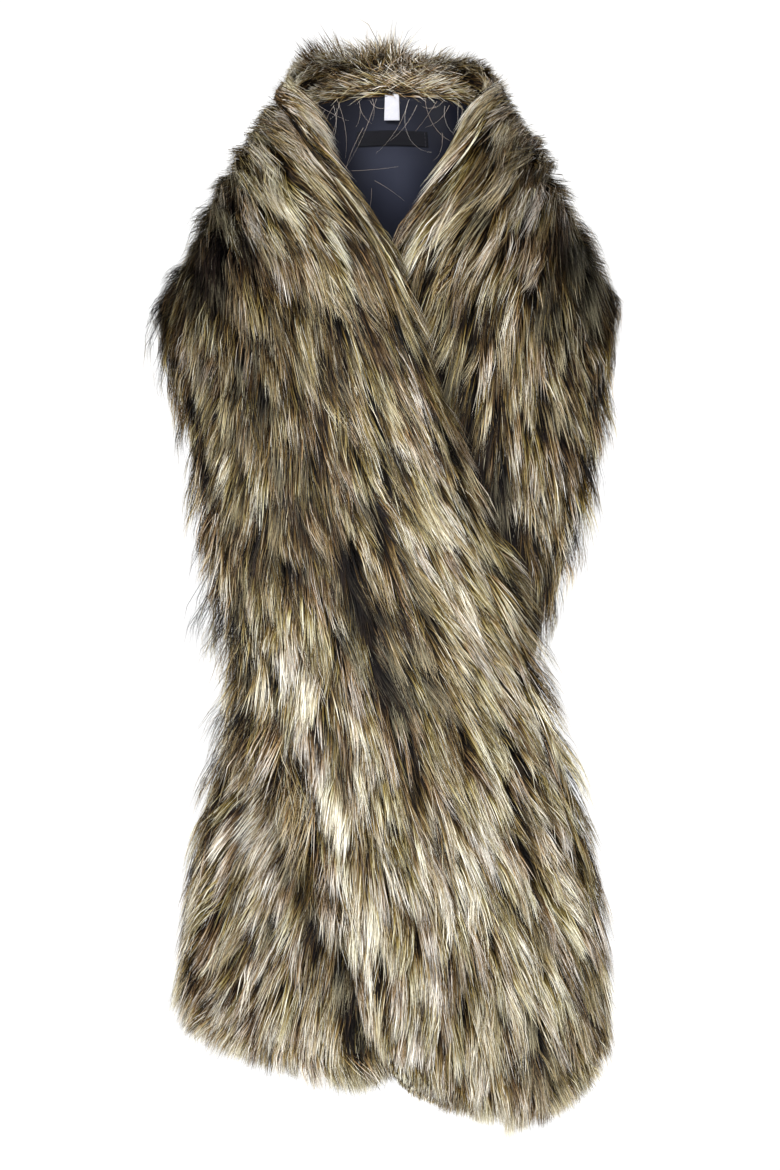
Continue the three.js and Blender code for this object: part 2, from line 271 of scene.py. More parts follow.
class Half:
    """One half of the strip, sampled along its cloth's middle, from beyond the centre back to the hem."""

    STEPS = 40

    def __init__(self, side, end_rows):
        self.side = side
        rows = np.array(NECK + end_rows, float)
        turn = COLUMNS.index("turn")
        mirrored = rows[1].copy()
        mirrored[0] *= -1
        mirrored[turn] = 180 - mirrored[turn]
        samples = self.interpolate(np.vstack([mirrored, rows, rows[-1]]))
        beyond = samples[SHOULDER * self.STEPS : 0 : -1].copy()
        beyond[:, 0] *= -1
        beyond[:, turn] = 180 - beyond[:, turn]
        self.set_samples(np.vstack([beyond, samples]), len(beyond))

    def interpolate(self, rows):
        """Catmull-Rom samples between the rows. The first and the last row only steer."""
        f = (np.arange(self.STEPS) / self.STEPS)[None, :, None]
        a, b, c, d = rows[:-3, None], rows[1:-2, None], rows[2:-1, None], rows[3:, None]
        between = b + 0.5 * f * (c - a + f * (2 * a - 5 * b + 4 * c - d + f * (3 * (b - c) + d - a)))
        return np.vstack([between.reshape(-1, rows.shape[1]), rows[-2]])

    def set_samples(self, samples, centre):
        middle = samples[:, :3] * (self.side, 1, 1)
        steps = np.linalg.norm(np.diff(middle, axis=0), axis=1)
        self.lengths = np.concatenate([[0], np.cumsum(steps)])
        self.lengths -= self.lengths[centre]
        self.hem = self.lengths[-1]
        self.shoulder = self.lengths[centre + SHOULDER * self.STEPS]
        values = dict(zip(COLUMNS, samples.T))
        drop, turn = np.radians(values["drop"]), np.radians(values["turn"])
        along = unit(np.gradient(middle, axis=0))
        level, ahead = np.cos(drop) * np.cos(turn), np.cos(drop) * np.sin(turn)
        across = np.stack([self.side * level, ahead, -np.sin(drop)], 1)
        out = unit(self.side * np.cross(along, across))
        values["chord"] = HALF_WIDTH * (1 - (2 / 3) * (values["crown"] / HALF_WIDTH) ** 2)
        self.values = values
        self.vectors = {"middle": middle, "along": along, "across": across, "out": out}

    def value(self, name, length):
        return np.interp(length, self.lengths, self.values[name])

    def vector(self, name, length):
        columns = self.vectors[name].T
        return np.stack([np.interp(length, self.lengths, column) for column in columns], -1)

    def point(self, length, aside, lift, narrow=1.0):
        """The points at lengths along the cloth, distances aside from its middle and heights over it."""
        length, aside, lift, narrow = np.broadcast_arrays(length, aside, lift, narrow)
        v = np.clip(aside / HALF_WIDTH, -1, 1)
        reach = (aside - v * HALF_WIDTH) * narrow
        crown, chord = self.value("crown", length), self.value("chord", length)
        w = v * narrow
        slope = 2 * crown * w / chord
        level = np.hypot(1, slope)
        over = w * chord + (lift * slope + reach) / level
        away = -crown * w * w + (lift - reach * slope) / level
        past = length - np.clip(length, self.lengths[0], self.hem)
        return (
            self.vector("middle", length)
            + self.vector("along", length) * past[..., None]
            + self.vector("across", length) * over[..., None]
            + self.vector("out", length) * away[..., None]
        )

    def normal(self, length, aside):
        """The cloth's outward normals."""
        w = np.clip(aside / HALF_WIDTH, -1, 1)
        slope = 2 * self.value("crown", length) * w / self.value("chord", length)
        return unit(self.vector("out", length) + self.vector("across", length) * slope[..., None])

    def fan(self, length, aside):
        """The angle at which the hair lies, in radians from along the cloth towards its outer edge."""
        v = np.clip(aside / HALF_WIDTH, -1, 1)
        names = ("fan_neck", "fan_middle", "fan_outer")
        neck, middle, outer = (self.value(name, np.abs(length)) for name in names)
        bend = (neck + outer) / 2 - middle
        angle = np.radians(middle + v * (outer - neck) / 2 + v * v * bend)
        return np.where(length < 0, math.pi - angle, angle)


def unit(vectors):
    return vectors / np.maximum(np.linalg.norm(vectors, axis=-1, keepdims=True), 1e-9)


# Meshes.


def make_object(name, points, faces, material, slot):
    """A smooth mesh object from points in millimetres and an array of faces with equal numbers of corners."""
    mesh = bpy.data.meshes.new(name)
    faces = np.asarray(faces, np.int32)
    count, corners = faces.shape
    mesh.vertices.add(len(points))
    mesh.vertices.foreach_set("co", (np.asarray(points) * MM).astype(np.float32).ravel())
    mesh.loops.add(faces.size)
    mesh.loops.foreach_set("vertex_index", faces.ravel())
    mesh.polygons.add(count)
    mesh.polygons.foreach_set("loop_start", np.arange(0, faces.size, corners, dtype=np.int32))
    mesh.polygons.foreach_set("use_smooth", np.ones(count, bool))
    mesh.update(calc_edges=True)
    mesh.materials.append(material)
    piece = bpy.data.objects.new(name, mesh)
    bpy.context.scene.collection.objects.link(piece)
    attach(piece, "root")
    return piece


def set_attributes(piece, **attributes):
    for name, numbers in attributes.items():
        layer = piece.data.attributes.new(name, "FLOAT", "POINT")
        layer.data.foreach_set("value", np.asarray(numbers, np.float32).ravel())


def shell_faces(rows, columns):
    """The faces of a closed shell whose upper and lower sheets are grids of points, the upper one first."""
    grid = np.arange(rows * columns).reshape(rows, columns)
    top = np.stack([grid[:-1, :-1], grid[:-1, 1:], grid[1:, 1:], grid[1:, :-1]], -1).reshape(-1, 4)
    under = top[:, ::-1] + rows * columns
    rim = np.concatenate([grid[0, :], grid[1:, -1], grid[-1, -2::-1], grid[-2:0:-1, 0]])
    after = np.roll(rim, -1)
    wall = np.stack([after, rim, rim + rows * columns, after + rows * columns], -1)
    return np.vstack([top, under, wall])


def make_shell(name, upper, lower, material, slot):
    """A closed shell between two grids of points of the same shape."""
    rows, columns = upper.shape[:2]
    faces = shell_faces(rows, columns)
    points = np.vstack([upper.reshape(-1, 3), lower.reshape(-1, 3)])
    corners = points[faces]
    turned = np.cross(corners[:, 1] - corners[:, 0], corners[:, 2] - corners[:, 0])
    if np.einsum("ij,ij->", corners[:, 0], turned) < 0:
        faces = faces[:, ::-1]
    return make_object(name, points, faces, material, slot)


# Materials. Colours are display values of 0 to 255, and a ramp's stops are a place and a colour.


def srgb(*display):
    """A colour from display values, with an alpha of 1."""
    shares = [value / 255 for value in display]
    return (*(c / 12.92 if c <= 0.04045 else ((c + 0.055) / 1.055) ** 2.4 for c in shares), 1.0)


class Nodes:
    """Short calls for building a material's nodes."""

    def __init__(self, name):
        self.material = bpy.data.materials.new(name)
        self.material.use_nodes = True
        self.tree = self.material.node_tree
        self.shader = self.tree.nodes["Principled BSDF"]

    def add(self, kind, settings=(), **inputs):
        node = self.tree.nodes.new(kind)
        for name, value in dict(settings).items():
            setattr(node, name, value)
        for name, value in inputs.items():
            self.link(value, node.inputs[name.replace("_", " ")])
        return node

    def link(self, value, socket):
        if isinstance(value, bpy.types.NodeSocket):
            self.tree.links.new(value, socket)
        else:
            socket.default_value = value

    def paint(self, colour):
        self.link(colour, self.shader.inputs["Base Color"])

    def attribute(self, name):
        return self.add("ShaderNodeAttribute", {"attribute_name": name}).outputs["Fac"]

    def ramp(self, factor, stops):
        node = self.add("ShaderNodeValToRGB", Fac=factor)
        elements = node.color_ramp.elements
        while len(elements) < len(stops):
            elements.new(1.0)
        for element, (place, colour) in zip(elements, stops):
            element.position = place
            element.color = srgb(*colour)
        return node.outputs["Color"]

    def mix(self, factor, first, second, blend="MIX"):
        node = self.add("ShaderNodeMix", {"data_type": "RGBA", "blend_type": blend})
        for value, socket in ((factor, 0), (first, 6), (second, 7)):
            self.link(value, node.inputs[socket])
        return node.outputs[2]

    def math(self, operation, first, second, clamp=False):
        node = self.add("ShaderNodeMath", {"operation": operation, "use_clamp": clamp})
        self.link(first, node.inputs[0])
        self.link(second, node.inputs[1])
        return node.outputs[0]

    def band(self, value, low, high):
        """0 below low, 1 above high and smooth between."""
        smooth = {"interpolation_type": "SMOOTHSTEP"}
        node = self.add("ShaderNodeMapRange", smooth, Value=value, From_Min=low, From_Max=high)
        return node.outputs["Result"]

    def noise(self, scale, detail=2.0, stretch=(1, 1, 1)):
        place = self.add("ShaderNodeTexCoord").outputs["Object"]
        place = self.add("ShaderNodeMapping", Vector=place, Scale=stretch).outputs["Vector"]
        return self.add("ShaderNodeTexNoise", Vector=place, Scale=scale, Detail=detail).outputs["Fac"]

    def wave(self, scale, direction, distortion=0.0):
        place = self.add("ShaderNodeTexCoord").outputs["Object"]
        inputs = {"Vector": place, "Scale": scale, "Distortion": distortion}
        return self.add("ShaderNodeTexWave", {"bands_direction": direction}, **inputs).outputs["Fac"]

    def bump(self, height, distance, strength):
        node = self.add("ShaderNodeBump", Height=height, Distance=distance, Strength=strength)
        self.link(node.outputs["Normal"], self.shader.inputs["Normal"])

    def finish(self, **sockets):
        for name, value in sockets.items():
            self.shader.inputs[name.replace("_", " ")].default_value = value
        return self.material


TONE_STOPS = (0.0, 0.18, 0.38, 0.58, 0.78, 1.0)
BROWN = ((12, 9, 11), (40, 29, 26), (98, 72, 44), (155, 126, 94), (214, 200, 188), (254, 250, 243))
KHAKI = ((11, 9, 7), (38, 31, 17), (99, 80, 31), (155, 140, 79), (209, 204, 167), (250, 247, 228))


def fur_material():
    """Strands that are dark at the root, as painted shade deep in the pile, take their own tone further up
    and may have a dark or pale tip.
    """
    nodes = Nodes("fur")
    tone, tip, along = (nodes.attribute(name) for name in ("tone", "tip", "along"))
    # Painted shade: the tone falls towards the root and rises towards the tip, as if the pile were shaded in
    # its depths.
    painted_depth_shade = nodes.math("MULTIPLY", nodes.math("SUBTRACT", nodes.band(along, 0.15, 0.97), 0.72), 0.62)
    tone = nodes.math("ADD", tone, painted_depth_shade, clamp=True)
    brown, khaki = (nodes.ramp(tone, tuple(zip(TONE_STOPS, colours))) for colours in (BROWN, KHAKI))
    body = nodes.mix(nodes.attribute("khaki"), brown, khaki)
    # Painted shade: the root is darkened further, for the shade deep in the pile.
    root = nodes.mix(1.0, body, srgb(70, 56, 50), blend="MULTIPLY")
    grown = nodes.mix(nodes.band(along, 0.05, 0.5), root, body)
    end = nodes.band(along, 0.5, 0.92)
    dark = nodes.math("MULTIPLY", end, nodes.math("MULTIPLY", tip, -1.0, clamp=True))
    pale = nodes.math("MULTIPLY", end, nodes.math("MULTIPLY", tip, 0.7, clamp=True))
    nodes.paint(nodes.mix(pale, nodes.mix(dark, grown, srgb(34, 26, 25)), srgb(226, 216, 180)))
    return nodes.finish(Roughness=0.55, Specular_IOR_Level=0.1)


def backing_material():
    """The knitted back of the fur."""
    nodes = Nodes("fur_backing")
    ribs = nodes.wave(900, "DIAGONAL", 1.5)
    colour = nodes.ramp(nodes.noise(160), ((0.3, (58, 46, 34)), (0.7, (84, 68, 48))))
    nodes.paint(nodes.mix(ribs, colour, srgb(40, 31, 24)))
    nodes.bump(ribs, 0.0004, 0.6)
    return nodes.finish(Roughness=0.9)


def satin_material():
    """Dark satin, with a fine twill, slight unevenness and a painted sheen where light falls on the nape."""
    nodes = Nodes("lining_satin")
    colour = nodes.ramp(nodes.noise(14, 3.0), ((0.3, (4, 5, 11)), (0.7, (10, 11, 21))))
    # Painted sheen: the satin is paler at the nape, where light falls on it.
    colour = nodes.mix(nodes.attribute("worn"), colour, srgb(50, 53, 66))
    twill = nodes.wave(1400, "DIAGONAL", 0.6)
    nodes.paint(nodes.mix(nodes.math("MULTIPLY", twill, 0.09), colour, srgb(52, 56, 76)))
    slubs = nodes.noise(220, 2.0, (1, 1, 0.12))
    nodes.bump(nodes.math("ADD", nodes.math("MULTIPLY", twill, 0.4), slubs), 0.0002, 0.5)
    return nodes.finish(
        Roughness=0.42,
        Specular_IOR_Level=0.1,
        Anisotropic=0.5,
        Sheen_Weight=0.02,
        Sheen_Roughness=0.4,
        Sheen_Tint=(0.6, 0.65, 0.85, 1.0),
    )


def woven_material(name, dark, pale, scale, sheen):
    """A label's tape, woven with fine ribs both ways."""
    nodes = Nodes(name)
    over, under = nodes.wave(scale, "X"), nodes.wave(scale, "Z")
    weave = nodes.math("MULTIPLY", over, under)
    grain = nodes.math("MULTIPLY", nodes.noise(300), 0.3)
    shade = nodes.math("ADD", nodes.math("MULTIPLY", weave, 0.7), grain)
    nodes.paint(nodes.ramp(shade, ((0.15, dark), (0.7, pale))))
    nodes.bump(weave, 0.0002, 0.6)
    return nodes.finish(Roughness=0.6, Specular_IOR_Level=0.2, Sheen_Weight=sheen)


def thread_material():
    """The twisted thread of the neck label's stitches."""
    nodes = Nodes("label_thread")
    twist = nodes.math("MULTIPLY", nodes.wave(2600, "DIAGONAL"), 0.5)
    nodes.paint(nodes.mix(twist, srgb(44, 44, 54), srgb(10, 10, 14)))
    return nodes.finish(Roughness=0.6)


def stage_material():
    """The floor's pale, slightly uneven white."""
    nodes = Nodes("pale_floor")
    nodes.paint(nodes.ramp(nodes.noise(1.5), ((0.0, (250, 250, 250)), (1.0, (255, 255, 255)))))
    glow = {"Emission_Color": (1, 1, 1, 1), "Emission_Strength": 0.35}
    return nodes.finish(Roughness=0.9, Specular_IOR_Level=0.1, **glow)


# Fur.


def patch_tone(patches_and_shadows, x, z):
    """How much paler or darker the fur is at points seen from the front, from a table of patches, some of
    which are painted shadow.
    """
    tone = np.zeros_like(x)
    for patch_x, patch_z, wide, tall, lean, paler in patches_and_shadows:
        sine, cosine = math.sin(math.radians(lean)), math.cos(math.radians(lean))
        dx, dz = x - patch_x, z - patch_z
        over = dx * cosine + dz * sine
        down = -dx * sine + dz * cosine
        tone += paler * np.exp(-(((over / wide) ** 2 + (down / tall) ** 2) ** 1.5))
    return tone


def soft_limit(distance, limit):
    """Distances squeezed so that they never pass the limit."""
    limit = np.maximum(limit, 1.0)
    return limit * (1 - np.exp(-np.maximum(distance, 0) / limit))


def rounded(beyond, reach):
    """How high the pile stands, as a share, at distances beyond an edge that the fur passes by reach."""
    return 0.5 * (1 + np.sqrt(1 - np.clip(beyond / reach, 0, 1) ** 2))


def corner_drawn(from_end, radius):
    """How far a hem's rounded corner is drawn in at distances from the hem."""
    inside = np.clip(radius - from_end, 0, radius)
    return radius - np.sqrt(radius**2 - inside**2)


def hem_narrow(half, length, radius):
    """How much the cloth narrows where the hem's corners are rounded."""
    return 1 - corner_drawn(half.hem - length, radius) / HALF_WIDTH


class Fur:
    """The fur of one half: strands over its cloth, round its edges and a little way inside them."""

    def __init__(self, half, counts, corners, opening, patches_and_shadows, seed):
        self.half, self.open = half, opening
        self.rng = np.random.default_rng(seed)
        self.place_tufts(counts)
        self.gather_locks()
        self.place_strands()
        self.corner = np.where(self.side < 0, *corners)
        self.turn_strands()
        self.measure_strands()
        self.points = self.strand_points(self.paths())
        self.colours = self.strand_colours(patches_and_shadows)

    def lock_uniform(self, low, high):
        """A random share for each strand, the same in all its lock."""
        return self.rng.uniform(low, high, self.locks)[self.of_lock]

    def lock_normal(self, spread):
        """A random number round nothing for each strand, the same in all its lock."""
        return self.rng.normal(0, spread, self.locks)[self.of_lock]

    def tuft_normal(self, spread):
        """A random number round nothing for each strand, the same in all its tuft."""
        return self.rng.normal(0, spread, self.tufts)[self.of_tuft]

    def turns(self, by_lock, by_strand):
        """A random angle for each strand, from spreads in degrees."""
        return np.radians(self.lock_normal(by_lock)) + np.radians(self.rng.normal(0, by_strand, self.total))

    def past_edge(self, side):
        """How far the fur reaches past the edge on the given side of each strand."""
        value = self.half.value
        return np.where(side < 0, value("neck_fur", self.length), value("outer_fur", self.length))

    def place_tufts(self, counts):
        """Tufts by length and by the way across, which goes on round the edges from the top of the pile."""
        rng, half = self.rng, self.half
        neck, end = (count // STRANDS_A_TUFT for count in counts)
        self.tufts = many = neck + end
        on_neck = np.arange(many) < neck
        start, stop = np.where(on_neck, 0, half.shoulder), np.where(on_neck, half.shoulder, half.hem)
        self.tuft_length = rng.uniform(start, stop)
        at_hem = ~on_neck & (rng.random(many) < HEM_SHARE)
        self.tuft_length = np.where(at_hem, half.hem - rng.uniform(0, HEM_ZONE, many), self.tuft_length)
        side = np.where(rng.random(many) < np.where(on_neck, *NECK_SIDE_SHARES), -1.0, 1.0)
        turned = rng.uniform(0, MOST_AROUND, many)
        on_edge = rng.random(many) < np.where(on_neck, *EDGE_SHARES)
        across = rng.uniform(-HALF_WIDTH, HALF_WIDTH, many)
        self.tuft_around = np.where(on_edge, side * (HALF_WIDTH + AROUND * turned), across)
        self.tuft_on_edge, self.tuft_on_neck = on_edge, on_neck

    def gather_locks(self):
        """Each tuft's lock and each lock's middle. Wavy rows keep the locks from lining up."""
        rng = self.rng
        wander = 6 * np.sin(self.tuft_length / 61 + 1.7 * np.sin(self.tuft_around / 37))
        around = self.tuft_around + wander + rng.normal(0, LOCK_BORDERS[0], self.tufts)
        across = np.floor((around + 2 * HALF_WIDTH) / LOCK_ACROSS)
        along = self.tuft_length + rng.normal(0, LOCK_BORDERS[1], self.tufts)
        along = np.floor(along / LOCK_ALONG + 0.5 * (across % 2) + 0.37 * np.sin(across * 5.1))
        _, lock = np.unique(across * 1000 + along, return_inverse=True)
        size = np.bincount(lock)
        self.tuft_lock, self.locks = lock, len(size)
        self.lock_length = np.bincount(lock, self.tuft_length) / size
        self.lock_around = np.bincount(lock, self.tuft_around) / size

    def place_strands(self):
        """Each strand's root, its kind and the thickness of the pile there."""
        rng, half = self.rng, self.half
        self.of_tuft = np.repeat(np.arange(self.tufts), STRANDS_A_TUFT)
        self.of_lock = self.tuft_lock[self.of_tuft]
        self.total = total = len(self.of_tuft)
        self.at_neck = self.tuft_on_neck[self.of_tuft]
        self.on_edge = self.tuft_on_edge[self.of_tuft]
        self.off_length, self.off_around = rng.normal(0, TUFT_SPREAD, (2, total))
        self.length = np.clip(self.tuft_length[self.of_tuft] + self.off_length, 0, half.hem)
        around = self.tuft_around[self.of_tuft] + self.off_around
        self.around = np.where(self.on_edge, around, np.clip(around, -HALF_WIDTH, HALF_WIDTH))
        self.side = np.sign(self.around)
        self.turned = np.clip((np.abs(self.around) - HALF_WIDTH) / AROUND, 0, math.pi)
        self.cloth_narrow = hem_narrow(half, self.length, CLOTH_CORNER)
        self.aside = np.clip(self.around, -HALF_WIDTH, HALF_WIDTH) * self.cloth_narrow
        self.fine = rng.random(total) < FINE_SHARE
        self.low = ~self.fine & ~self.on_edge & (rng.random(total) < LOW_SHARE)
        self.edge_fur = self.past_edge(self.side)
        # The pile lies lower along the neck edge where the collar turns to the side.
        inner = np.clip((-self.around / HALF_WIDTH - 0.3) / 0.7, 0, 1) ** 1.5
        sunk = SIDE_TURN["lower"] * inner * bell(self.length - SIDE_TURN["length"], SIDE_TURN["reach"], 4)
        self.pile = half.value("pile", self.length) * (1 - sunk)
        # Some strands of the edges lie on the cloth's inner side.
        collar = self.at_neck & (self.side < 0)
        self.wrap = self.on_edge & (rng.random(total) < np.where(collar, *WRAP_SHARES))

    def turn_strands(self):
        """The angle at which each strand lies, from along the cloth towards its outer edge."""
        rng, total = self.rng, self.total
        cloth = np.clip(self.around, -HALF_WIDTH, HALF_WIDTH)
        angle = self.half.fan(self.length, cloth) + np.radians(self.lock_normal(LIE_TURNS["lock"]))
        angle += np.radians(self.tuft_normal(LIE_TURNS["tuft"]))
        angle += np.radians(rng.normal(0, LIE_TURNS["strand"], total))
        # Hair crosses the seam at the centre back both ways, and the top of the collar is a little unruly.
        angle += np.radians(rng.normal(0, LIE_TURNS["seam"], total)) * bell(self.length, ZONES["crossing"])
        top = bell(self.length, ZONES["unruly"]) * np.clip(-self.around / HALF_WIDTH, 0, 1) ** 2
        angle += np.radians(self.lock_normal(COLLAR_TURNS[0])) * top
        angle += np.radians(rng.normal(0, COLLAR_TURNS[1], total)) * top
        # It spreads a little towards the corners of the hem.
        near_hem = np.clip(1 - (self.half.hem - self.length) / HEM_TURN_ZONE, 0, 1)
        self.angle = angle + np.radians(HEM_TURN) * self.side * (cloth / HALF_WIDTH) ** 2 * near_hem

    def measure_strands(self):
        """Each strand's reach. A lock's strands lean towards its middle, and the outer ones are shorter."""
        rng, total = self.rng, self.total
        sine, cosine = np.sin(self.angle), np.cos(self.angle)
        from_length = self.length - self.lock_length[self.of_lock]
        from_around = self.around - self.lock_around[self.of_lock]
        aside_of_lock = np.clip(from_around * cosine - from_length * sine, -LOCK_ACROSS, LOCK_ACROSS)
        along_of_lock = np.clip(from_length * cosine + from_around * sine, -LOCK_ALONG, LOCK_ALONG)
        lying = STRAND_LENGTH * self.lock_uniform(*LENGTH_SHARES[0]) * rng.uniform(*LENGTH_SHARES[1], total)
        lying *= 1 - OUTER_SHORTER * np.abs(aside_of_lock) / LOCK_ACROSS
        lying -= LOCK_TIP_PULL * along_of_lock
        lying *= np.where(self.low, LOW_LENGTH, 1.0) * np.where(self.wrap, WRAP_LENGTH, 1.0)
        self.lying = lying
        self.to_length = lying * cosine + LOCK_PULL * aside_of_lock * sine - TUFT_PULL * self.off_length
        self.to_around = lying * sine - LOCK_PULL * aside_of_lock * cosine - TUFT_PULL * self.off_around
        self.reach = self.lock_uniform(*REACH_SHARES[0]) * rng.uniform(*REACH_SHARES[1], total)
        # The collar's top is a dome: its fur reaches furthest at the centre back.
        at_top = np.clip(-self.around / HALF_WIDTH, 0, 1) ** 2 * bell(self.length, ZONES["dome"], 6)
        self.dome = 1 + at_top * (PEAK * bell(self.length, ZONES["peak"]) - FLAT)
        neck_open, outer_open = (np.interp(self.length, *zip(*table)) for table in self.open)
        self.opened = np.where(self.side < 0, neck_open, outer_open)
        self.dome *= 1 + self.opened
        self.swing = np.tan(self.turns(*SWING_TURNS))

    def turn_back(self, across, allowed):
        """The reaches along and across, with the one across held under what is allowed."""
        across = np.sign(across) * np.minimum(np.abs(across), allowed)
        along = np.sqrt(np.maximum(self.lying**2 - across**2, (LEAST_ALONG * self.lying) ** 2))
        return np.copysign(along, self.to_length), across

    def kept_at_hem(self, along, aside, tip_aside):
        """The share of each strand that stays inside the hem's rounded outline."""
        half, reach, tip = self.half, np.sqrt(self.reach), self.length + along
        end = half.hem + (HEM_FUR + OVER_HEM) * reach
        kept = np.where(tip > end, (end - self.length) / np.maximum(along, 1.0), 1.0)
        neck_fur, outer_fur = half.value("neck_fur", half.hem), half.value("outer_fur", half.hem)
        full = (HALF_WIDTH + np.where(tip_aside < 0, neck_fur, outer_fur)) * (0.5 + 0.5 * reach)
        centre_length, centre_aside = end - self.corner, full - self.corner

        def far(length, aside):
            """How far out points are from the middle of their rounded corner."""
            over_length, over_aside = length - centre_length, np.abs(aside) - centre_aside
            return np.hypot(np.maximum(over_length, 0), np.maximum(over_aside, 0))

        far_tip, far_root = far(tip, tip_aside), far(self.length, aside)
        share = (self.corner - far_root) / np.maximum(far_tip - far_root, 1.0)
        outside = (far_tip > self.corner) & (tip > centre_length)
        return np.clip(np.minimum(kept, np.where(outside, share, 1.0)), SHORTEST_SHARE, 1.0)

    def face_paths(self):
        """Strands rooted on the cloth, which rise through the pile and lie along its top."""
        rng, half, total = self.rng, self.half, self.total
        lock_lift = self.lock_uniform(*HEIGHT_SHARES["lock"])
        low, body, fine = (rng.uniform(*HEIGHT_SHARES[kind], total) for kind in ("low", "body", "fine"))
        height = self.pile * lock_lift * np.where(self.fine, fine, np.where(self.low, low, body))
        at_hem = np.clip(1 - (half.hem - self.length) / HEM_LIFT_ZONE, 0, 1)
        hem_lift = at_hem * rng.uniform(0, 0.5, total) * self.pile
        bend = rng.uniform(1.7, 2.6, total)
        towards = np.sign(self.to_around)
        fur = self.past_edge(towards)
        room = np.maximum(HALF_WIDTH - towards * self.aside, 0)
        allowed = room + soft_limit(np.abs(self.to_around) - room, fur * self.reach * self.dome)
        along, across = self.turn_back(self.to_around, allowed)
        kept = self.kept_at_hem(along, self.aside, self.aside + across)
        for step in STRAND_SHARES:
            bow = self.swing * step * (step - 1)
            length = self.length + kept * (along * step - across * bow)
            aside = self.aside + kept * (across * step + along * bow)
            lift = hem_lift + (height - hem_lift) * (1 - (1 - step) ** bend)
            lift *= rounded(np.abs(aside) - HALF_WIDTH, fur * 1.2) * rounded(length - half.hem, HEM_FUR * 1.2)
            yield length, aside, lift

    def edge_paths(self):
        """Strands that start inside the fur's rounded edge and run along it, opening towards its outside."""
        rng, total = self.rng, self.total
        turn = self.turns(*EDGE_TURNS)
        follow = np.where(self.side > 0, *EDGE_FOLLOW)
        outward = follow * self.side * self.to_around + self.lying * np.sin(turn)
        outward = np.clip(outward, *EDGE_LIMITS)
        along, outward = self.turn_back(outward, np.abs(outward))
        # At the centre back the collar's edge strands stand up and lean either way.
        upright = bell(self.length, ZONES["upright"]) * (self.side < 0)
        along *= 1 - upright + upright * rng.normal(0, 0.45, total)
        turned_tip = np.clip(self.turned + 0.65 * outward / AROUND, 0.02, math.pi)
        turned_tip += 0.4 * np.clip(self.opened, 0, 1) * (math.pi / 2 - turned_tip)
        deep = rng.uniform(*EDGE_DEEP, total)
        open_lock = self.lock_uniform(*OPEN_SHARES[0]) * rng.uniform(*OPEN_SHARES[1], total)
        flare = EDGE_FLARE * np.maximum(outward, 0) / AROUND
        behind = 1 - EDGE_BEHIND * np.clip(turned_tip - 1.7, 0, 1)
        deep_tip = np.maximum((open_lock + flare) * self.dome * behind, deep * 0.8)
        from_end = self.half.hem + HEM_FUR - self.length
        inner = HALF_WIDTH * self.cloth_narrow
        outer = HALF_WIDTH + self.edge_fur - corner_drawn(from_end, self.corner)

        def place(share):
            depth = deep + (deep_tip - deep) * (1 - (1 - share) ** 1.5)
            turned = self.turned + (turned_tip - self.turned) * share
            aside = inner + (outer - inner) * depth * np.sin(turned)
            return self.side * aside, self.pile / 2 * (1 + depth * np.cos(turned))

        kept = self.kept_at_hem(along, place(0)[0], place(1)[0])
        for step in STRAND_SHARES:
            aside, lift = place(step * kept)
            bow = self.swing * step * (step - 1) * along * kept
            yield self.length + along * step * kept, aside + 0.6 * bow, lift

    def wrap_paths(self):
        """Strands on the inner side of the edges, some of which fall back over the lining."""
        rng, total = self.rng, self.total
        deep = -rng.uniform(*WRAP_DEEP, total)
        root = self.side * (HALF_WIDTH - rng.uniform(0, LINING_INSET + 1, total)) * self.cloth_narrow
        across = np.abs(self.to_around) * 0.5
        along, across = self.turn_back(across, 0.5 * self.edge_fur + 4)
        fall = rng.random(total) < FALL_SHARE * bell(self.length, ZONES["falling"], 4)
        back = np.where(fall, rng.uniform(1.0, 1.6, total), rng.uniform(0, 0.4, total))
        kept = self.kept_at_hem(along, root, root + self.side * across)
        for step in STRAND_SHARES:
            aside = root + self.side * across * kept * (step - back * step * step)
            lift = -1.2 + (deep + 1.2) * (1 - (1 - step) ** 2)
            yield self.length + along * step * kept, aside, lift

    def paths(self):
        """The length, the distance aside and the height of each strand at the shares along it."""
        paths = []
        for face, edge, wrap in zip(self.face_paths(), self.edge_paths(), self.wrap_paths()):
            kinds = zip(face, edge, wrap)
            paths.append([np.where(self.wrap, c, np.where(self.on_edge, b, a)) for a, b, c in kinds])
        return paths

    def outward(self):
        """The directions that the strands' flat sides face: out of the pile's rounded surface."""
        half, cloth = self.half, np.clip(self.aside, -HALF_WIDTH, HALF_WIDTH)
        normal = half.normal(self.length, cloth)
        across = unit(np.cross(half.vector("along", self.length), normal)) * -half.side
        turned = np.where(self.wrap, math.pi, self.turned)[:, None]
        return normal * np.cos(turned) + across * (self.side[:, None] * np.sin(turned))

    def strand_points(self, paths):
        """Each strand's six points."""
        spine = np.stack([self.half.point(*path) for path in paths], 1)
        tangent = unit(np.gradient(spine, axis=1))
        side = unit(np.cross(tangent, self.outward()[:, None]))
        roll = np.clip(self.rng.normal(0, ROLL, self.total), -1, 1)[:, None, None]
        side = unit(side * np.cos(roll) + np.cross(side, tangent) * np.sin(roll))
        wide = np.where(self.fine, FINE_WIDTH, np.where(self.on_edge, EDGE_WIDTH, BODY_WIDTH))
        wide = wide * self.rng.uniform(*WIDTH_SHARES, self.total)
        wide = wide[:, None] / 2
        points = [spine[:, 0]]
        for i, share in enumerate(STRAND_WIDTHS, start=1):
            points += [spine[:, i] - side[:, i] * wide * share, spine[:, i] + side[:, i] * wide * share]
        points.append(spine[:, -1])
        return np.stack(points, 1)

    def strand_colours(self, patches_and_shadows):
        """Each strand's tone, tip and hue, from the fur's patches and painted shadows, its lock, its tuft and
        itself.
        """
        rng, total = self.rng, self.total
